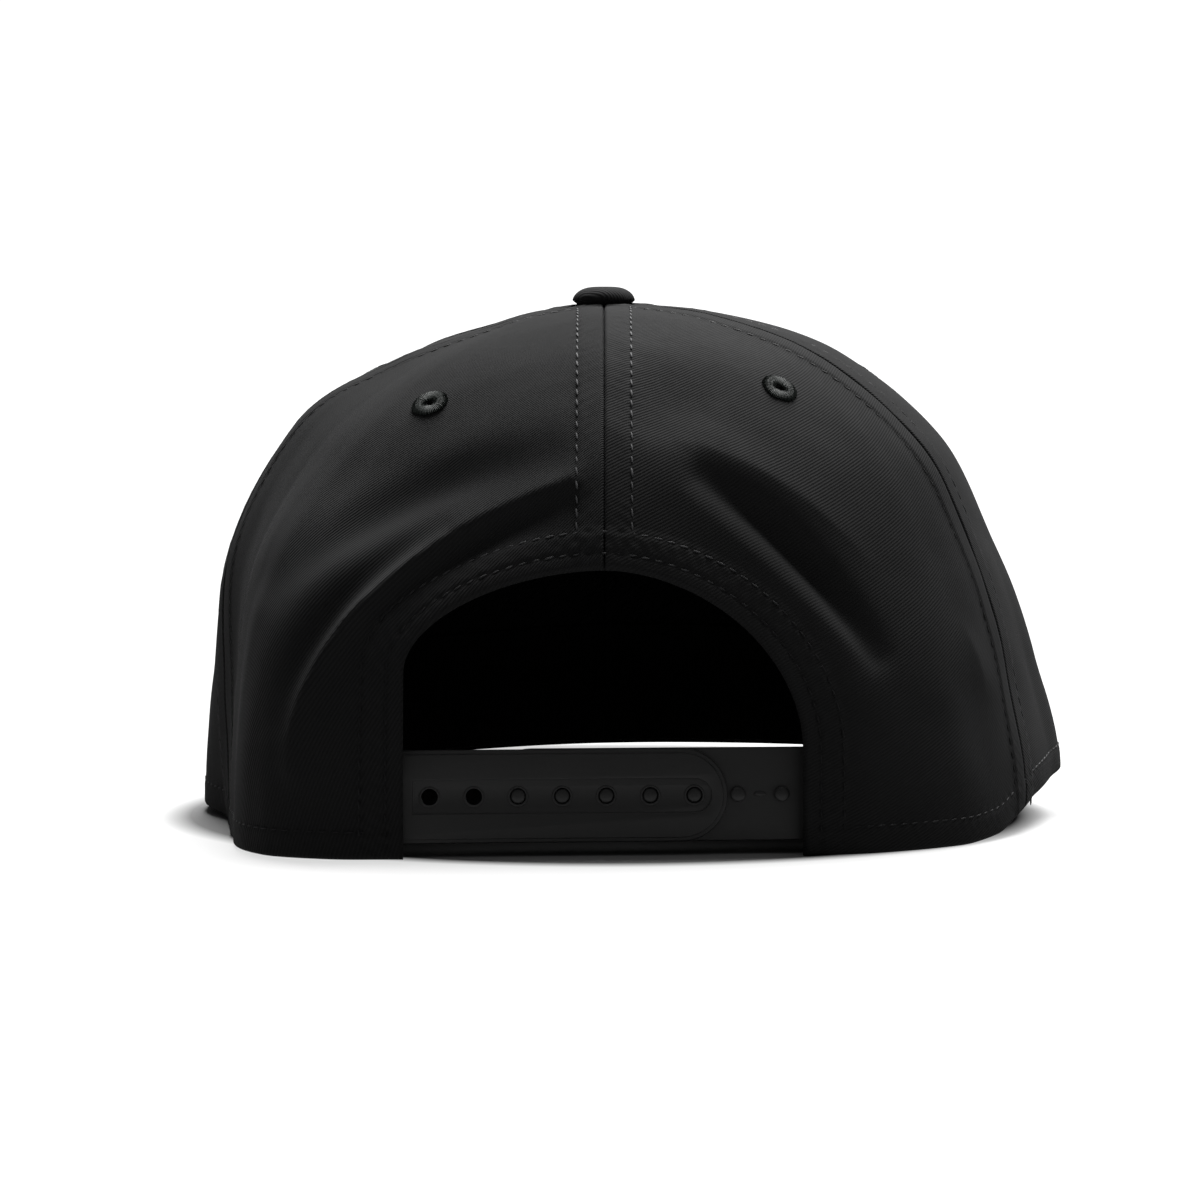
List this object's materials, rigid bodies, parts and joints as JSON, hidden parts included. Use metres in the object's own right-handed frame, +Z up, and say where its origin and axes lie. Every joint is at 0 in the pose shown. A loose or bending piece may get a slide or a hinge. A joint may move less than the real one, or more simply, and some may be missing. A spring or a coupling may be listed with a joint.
{
  "type": "snapback cap",
  "caption": "Six-panel cap of black twill with a stiff peak, a half-round opening at the back and a plastic snap closure, resting flat.",
  "frame": {"origin": "middle of the cap's whole outline seen from above, on the surface that it rests on", "axes": "+Z up, +Y from the back of the cap to its peak, +X to the right as seen from behind"},
  "size_m": [0.1988, 0.2514, 0.1218],
  "materials": {
    "twill": "black cotton twill, matt",
    "thread": "black sewing thread, slightly lighter than the cloth",
    "band": "smooth black band cloth",
    "strap": "black moulded plastic, satin"
  },
  "bodies": {
    "root": {"panel_rear_left": "twill", "panel_rear_right": "twill", "panel_side_left": "twill", "panel_side_right": "twill", "panel_front_left": "twill", "panel_front_right": "twill", "button": "twill", "eyelet_rear_left": "thread", "eyelet_rear_right": "thread", "eyelet_side_left": "thread", "eyelet_side_right": "thread", "eyelet_front_left": "thread", "eyelet_front_right": "thread", "sweatband": "band", "strap_outer": "strap", "strap_inner": "strap", "peak": "twill"}
  },
  "joints": []
}
